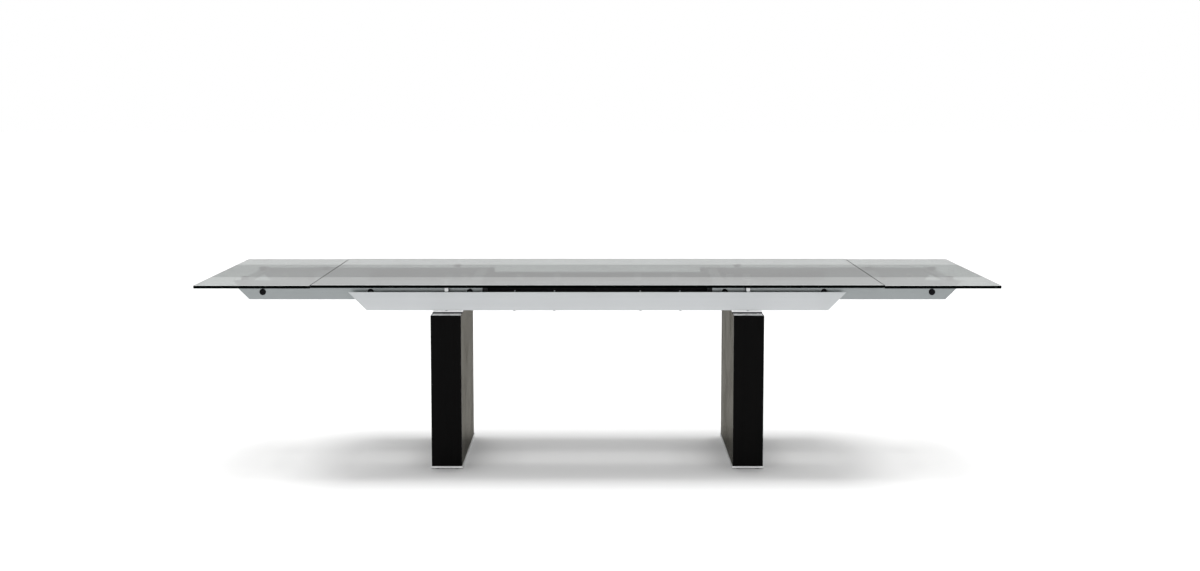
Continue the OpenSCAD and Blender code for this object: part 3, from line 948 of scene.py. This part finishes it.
class TABLE_OT_beams(TablePiece, bpy.types.Operator):
    """Models the front and the rear beam with rounded long edges"""

    bl_idname = "table.beams"
    bl_label = "Beams"

    def execute(self, context):
        for face in FACES:
            rounded_node(f"{face}_beam", f"{face}_beam_profile", "beam",
                         sizes().profile_edge, 3, longer(20 * MM))
        return {"FINISHED"}


class TABLE_OT_tracks(TablePiece, bpy.types.Operator):
    """Models the tracks, their brackets and the stops"""

    bl_idname = "table.tracks"
    bl_label = "Tracks"

    def execute(self, context):
        edge = sizes()
        for face in FACES:
            rounded_node(f"{face}_track", f"{face}_track_profile", "black_coat",
                         edge.plate_edge, 2, longer(3 * MM))
        rounded_node("track_brackets", "track_bracket_set", "grey_coat",
                     edge.screw_edge, 1, longer(2 * MM))
        for place in ("out", "centre"):
            rounded_node(f"{place}_stops", f"{place}_stop_set", "rubber",
                         edge.moulded_edge)
        return {"FINISHED"}


class TABLE_OT_legs(TablePiece, bpy.types.Operator):
    """Models the panels, the cladding and the plates of both legs"""

    bl_idname = "table.legs"
    bl_label = "Legs"

    def execute(self, context):
        edge = sizes()
        for side in SIDES:
            for part, width, look, slot in (
                    ("front_panel", edge.panel_edge, "veneer", "black_veneer"),
                    ("rear_panel", edge.panel_edge, "veneer", "black_veneer"),
                    ("inner_cladding", edge.sheet_edge, "cladding", "cladding_metal"),
                    ("outer_cladding", edge.sheet_edge, "cladding", "cladding_metal")):
                node = f"{side}_leg_{part}"
                bm = new_shape()
                add_block(bm, *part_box(node))
                soften(bm, width, 2)
                plain_piece(bm, f"{side}_{part}_sheet", look, node)
            # The base plates take the lighter copy of the plate steel, which is painted light
            # against the shade under the table
            for part, look in (("base_plate", "base_plate"), ("top_plate", "plate")):
                rounded_node(f"{side}_leg_{part}", f"{side}_{part}_steel", look,
                             edge.plate_edge, 2, longer(5 * MM))
            dress(f"{side}_leg_carcass", "board")
        return {"FINISHED"}


class TABLE_OT_mounts(TablePiece, bpy.types.Operator):
    """Models the mount plates, their gaskets and the floor glides"""

    bl_idname = "table.mounts"
    bl_label = "Mounts"

    def execute(self, context):
        edge = sizes()
        for side in SIDES:
            rounded_node(f"{side}_mount_plate", f"{side}_mount_steel", "plate",
                         edge.plate_edge, 2, longer(5 * MM))
        rounded_node("mount_gaskets", "gasket_sheets", "rubber",
                     edge.sheet_edge, 1, longer(2 * MM))
        discs("floor_glides", "glide_set", "plastic", 0.6 * MM, 2)
        return {"FINISHED"}


PAD_LIPS = (0.34, 0.42, 0.58, 0.66)    # where a leaf pad narrows and widens, by its height


class TABLE_OT_carriages(TablePiece, bpy.types.Operator):
    """Models the rails, cross bars, caps and leaf pads of both carriages"""

    bl_idname = "table.carriages"
    bl_label = "Carriages"

    def execute(self, context):
        edge = sizes()
        for side in SIDES:
            for face in FACES:
                rounded_node(f"{side}_{face}_rail", f"{side}_{face}_rail_bar", "rail",
                             edge.profile_edge, 3, longer(4 * MM))
            for name, node in (("inner_cross_bar", "inner_bar"), ("leaf_cross_bars", "leaf_bars")):
                rounded_node(f"{side}_{node}", f"{side}_{name}", "grey_coat",
                             edge.plate_edge, 3)
            rounded_node(f"{side}_rail_caps", f"{side}_cap_set", "plastic",
                         edge.moulded_edge)

            boxes = solid_boxes(f"{side}_leaf_pads")
            radius, tall, foot = round_size(boxes)
            waist = radius - 1.6 * MM
            lips = zip((radius, waist, waist, radius), (tall * share for share in PAD_LIPS))
            bm = turned([(0, 0), (radius, 0), *lips, (radius, tall), (0, tall)])
            soften(bm, edge.moulded_edge, 2)
            plain_piece(repeated(bm, upright(boxes, foot)), f"{side}_pad_set", "rubber",
                        f"{side}_leaf_pads")
        return {"FINISHED"}


class TABLE_OT_axles(TablePiece, bpy.types.Operator):
    """Models the axle bolts and the nylon rollers, and finishes the small rings"""

    bl_idname = "table.axles"
    bl_label = "Axles and rollers"

    def execute(self, context):
        for side in SIDES:
            node = f"{side}_axle_bolts"
            boxes = solid_boxes(node)
            low, high = boxes[0]
            far = max(abs(low.y), abs(high.y))
            radius, head, shank = (high.x - low.x) / 2, 5.5 * MM, 5 * MM
            tip = (0.8 * MM, 1 * MM)
            bm = headed(screw(AXLE_HEAD, radius, head, shank, head - (high.y - low.y), tip),
                        shank * 0.7, sizes().socket_depth, sizes().round_steps)
            soften(bm, 0.25 * MM, 1, lambda e: e.verts[0].co.z > 0)
            plain_piece(repeated(bm, facing_out(boxes, far - head)), f"{side}_axle_set",
                        "black_oxide", node)
            for part in ("axle_spacers", "axle_rings"):
                dress(f"{side}_{part}", "zinc")
            for part in ("inner", "middle", "outer"):
                node = f"{side}_{part}_rollers"
                boxes = solid_boxes(node)
                low, high = boxes[0]
                radius, wide = (high.x - low.x) / 2, high.y - low.y
                near = min(abs(low.y), abs(high.y))
                bore, hub, wall, dish = 5.06 * MM, 8.2 * MM, radius - 3 * MM, 1.3 * MM
                half = [(bore, 0), (hub, 0), (hub + dish, dish), (wall - dish, dish),
                        (wall, 0), (radius, 0)]
                other = [(r, wide - h) for r, h in reversed(half)]
                bm = turned(half + other, closed=True)
                soften(bm, sizes().moulded_edge, 2, lambda e: e.verts[0].co.xy.length > wall)
                plain_piece(repeated(bm, facing_out(boxes, near)), f"{side}_{part}_roller_pair",
                            "nylon", node)
        dress("track_screws", "zinc")
        return {"FINISHED"}


# Stage

# Heights above the horizon, as sines, and the room's brightness there
BEHIND = ((0.0, 0.55), (0.09, 0.55), (0.11, 0.51), (0.16, 0.51), (0.40, 0.40), (1.0, 0.32))
IN_FRONT = ((0.0, 0.95), (0.50, 0.85), (0.75, 0.35), (1.0, 0.32))
BAND_LOW, BAND_HIGH, BAND_SOFT = 0.0955, 0.1025, 0.0002   # a dark band across the wall behind
FLAG_IN, FLAG_OUT = (0.72, 0.80), (0.97, 0.93)            # both edges of each side's dark flag
FLAG_AHEAD = (0.0, -0.1)                                  # where it fades in to the front
BAND_SHADE, FLAG_SHADE = (0.385,) * 3, (0.06,) * 3
LEAST_DEPTH = 0.05       # keeps the slope over the horizon finite
TURN_OVER = (-0.5, 0.5)  # from the front of the room to its rear
LAMP_PLACE = (0.0, 0.0, 3.0)
SENSOR_MM, FAR = 36.0, 200.0


class TABLE_OT_stage(TablePiece, bpy.types.Operator):
    """Sets the pale floor, the soft light and the camera"""

    bl_idname = "table.stage"
    bl_label = "Stage"

    def execute(self, context):
        stage = context.scene.table_stage
        self.make_floor(stage)
        self.make_room(stage)
        self.make_lamp(stage)
        self.make_camera(stage)
        context.scene.view_settings.view_transform = "Standard"
        return {"FINISHED"}

    def make_floor(self, stage):
        bm = bmesh.new()
        bmesh.ops.create_grid(bm, x_segments=1, y_segments=1, size=stage.floor_size / 2)
        material, tree, shader, place = new_finish("studio_floor")
        rgb = colours().floor
        tone = spread(tree, noise(tree, place, 0.6, 3.0, 0.5), 0.3, 0.7)
        surface(tree, shader, toned(tree, tone, rgb, 0.99, 1.01),
                spread(tree, tone, 0, 1, 0.75, 0.85), gloss=0.15)
        mesh = as_mesh(bm, "studio_floor")
        mesh.materials.append(material)
        floor = placed("studio_floor", mesh)

    def brightness(self, tree, height, stops):
        """A ramp of brightness over the height above the horizon."""
        ramp = tree.nodes.new("ShaderNodeValToRGB")
        feed(tree, ramp.inputs, {"Fac": height})
        held = ramp.color_ramp.elements
        held.remove(held[-1])
        for index, (position, bright) in enumerate(stops):
            stop = held[0] if index == 0 else held.new(position)
            stop.position = position
            stop.color = (bright, bright, bright, 1.0)
        return ramp.outputs["Color"]

    def make_room(self, stage):
        """White for the camera. For all else a soft room, bright in front of the table and
        darker behind it, with one dark band behind and a dark flag at each side."""
        world = bpy.data.worlds.new("studio_room")
        bpy.context.scene.world = world
        world.use_nodes = True
        tree = world.node_tree
        way = tree.nodes.new("ShaderNodeTexCoord").outputs["Generated"]
        split = tree.nodes.new("ShaderNodeSeparateXYZ")
        feed(tree, split.inputs, {"Vector": way})
        depth, height = split.outputs["Y"], split.outputs["Z"]
        aside = maths(tree, "ABSOLUTE", split.outputs["X"], 0.0)
        flags = times(tree, spread(tree, aside, *FLAG_IN), spread(tree, aside, *FLAG_OUT))
        flags = times(tree, flags, spread(tree, depth, *FLAG_AHEAD))
        front = blended(tree, flags, self.brightness(tree, height, IN_FRONT), FLAG_SHADE)
        slope = maths(tree, "DIVIDE", height, maths(tree, "MAXIMUM", depth, LEAST_DEPTH))
        band = times(tree, spread(tree, slope, BAND_LOW - BAND_SOFT, BAND_LOW + BAND_SOFT),
                     spread(tree, slope, BAND_HIGH + BAND_SOFT, BAND_HIGH - BAND_SOFT))
        rear = blended(tree, band, self.brightness(tree, height, BEHIND), BAND_SHADE)
        room = blended(tree, spread(tree, depth, *TURN_OVER), front, rear)
        path = tree.nodes.new("ShaderNodeLightPath")
        seen = blended(tree, path.outputs["Is Camera Ray"], room, WHITE)
        feed(tree, tree.nodes["Background"].inputs, {"Color": seen, "Strength": stage.room})

    def make_lamp(self, stage):
        """A lamp that lights and casts shadow, but that nothing mirrors or shows through
        glass, unlike a real one."""
        light = bpy.data.lights.new("overhead_light", "SUN")
        light.energy = stage.lamp
        light.angle = stage.lamp_width
        lamp = placed("overhead_light", light)
        lamp.location = LAMP_PLACE
        lamp.rotation_euler = (-stage.lamp_lean, 0.0, 0.0)
        lamp.visible_glossy = False
        lamp.visible_transmission = False

    def make_camera(self, stage):
        data = bpy.data.cameras.new("camera")
        data.sensor_width, data.lens = SENSOR_MM, stage.lens
        data.shift_x = stage.shift
        data.clip_end = FAR
        camera = placed("camera", data)
        camera.location = stage.camera_place
        camera.rotation_euler = (pi / 2 - stage.camera_tilt, 0.0, 0.0)
        bpy.context.scene.camera = camera


PIECE_OPERATORS = (
    TABLE_OT_glass_panes, TABLE_OT_glass_posts, TABLE_OT_pan_screws, TABLE_OT_hexagon_bolts,
    TABLE_OT_beams, TABLE_OT_tracks, TABLE_OT_legs, TABLE_OT_mounts, TABLE_OT_carriages,
    TABLE_OT_axles, TABLE_OT_stage)


class TABLE_PT_sidebar(bpy.types.Panel):
    """Lists the table's operators, sizes and colours"""

    bl_idname = "TABLE_PT_sidebar"
    bl_label = "Extending table"
    bl_space_type = "VIEW_3D"
    bl_region_type = "UI"
    bl_category = "Table"

    def draw(self, context):
        for made in PIECE_OPERATORS:
            self.layout.operator(made.bl_idname)
        for group in ("table_sizes", "table_colours", "table_stage"):
            held = getattr(context.scene, group)
            for name in held.__annotations__:
                self.layout.prop(held, name)


GROUPS = {"table_sizes": TableSizes, "table_colours": TableColours, "table_stage": StageSettings}


def register():
    for made in (*GROUPS.values(), *PIECE_OPERATORS, TABLE_PT_sidebar):
        bpy.utils.register_class(made)
    for name, group in GROUPS.items():
        setattr(bpy.types.Scene, name, PointerProperty(type=group))


def unregister():
    for name in GROUPS:
        delattr(bpy.types.Scene, name)
    for made in reversed((*GROUPS.values(), *PIECE_OPERATORS, TABLE_PT_sidebar)):
        bpy.utils.unregister_class(made)


def main():
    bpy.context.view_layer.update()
    register()
    for made in PIECE_OPERATORS:
        family, name = made.bl_idname.split(".")
        getattr(getattr(bpy.ops, family), name)()


if __name__ == "__main__":
    main()
